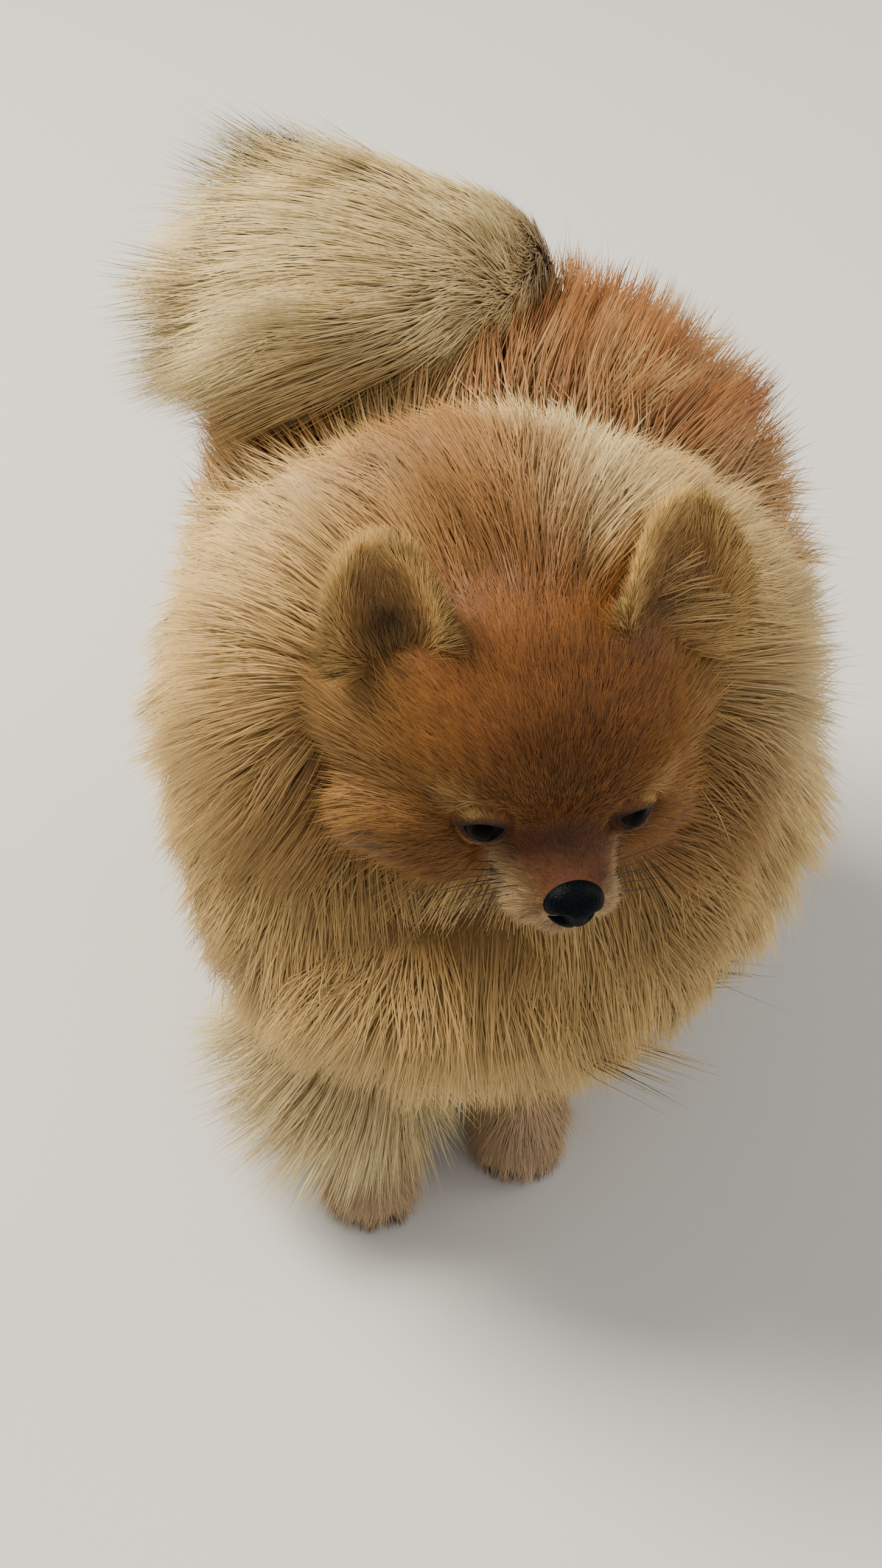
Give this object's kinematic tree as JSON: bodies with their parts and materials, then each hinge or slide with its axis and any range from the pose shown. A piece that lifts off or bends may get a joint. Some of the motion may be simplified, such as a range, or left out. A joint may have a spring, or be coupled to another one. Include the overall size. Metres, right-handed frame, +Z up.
{
  "type": "pomeranian",
  "caption": "Life-size long-coated small dog standing in mid-step, head low and turned to its left, plumed tail curled over the back.",
  "frame": {"origin": "on the floor under the middle of the whole dog, coat and tail plume included", "axes": "+Z up, -Y the way the body faces, +X towards the dog's left side"},
  "size_m": [0.2426, 0.2732, 0.2761],
  "materials": {
    "coat_orange": "long straight hair, soft, dry sheen",
    "coat_cream": "long fine pale hair, soft, dry sheen",
    "coat_face": "short plush hair",
    "nose_leather": "pebbled, slightly moist",
    "eye": "wet, very dark brown"
  },
  "bodies": {
    "root": {"head": "coat_face", "muzzle": "coat_face", "lower_jaw": "coat_cream", "nose": "nose_leather", "eye_right": "eye", "eye_left": "eye", "ear_right": "coat_orange", "ear_left": "coat_orange", "mane": "coat_orange", "chest": "coat_cream", "trunk": "coat_orange", "rump": "coat_orange", "tail": "coat_cream", "foreleg_right": "coat_cream", "foreleg_left": "coat_cream", "hindleg_right": "coat_cream", "hindleg_left": "coat_cream", "paw_fore_right": "coat_cream", "paw_fore_left": "coat_cream", "paw_hind_right": "coat_cream", "paw_hind_left": "coat_cream"}
  },
  "joints": []
}
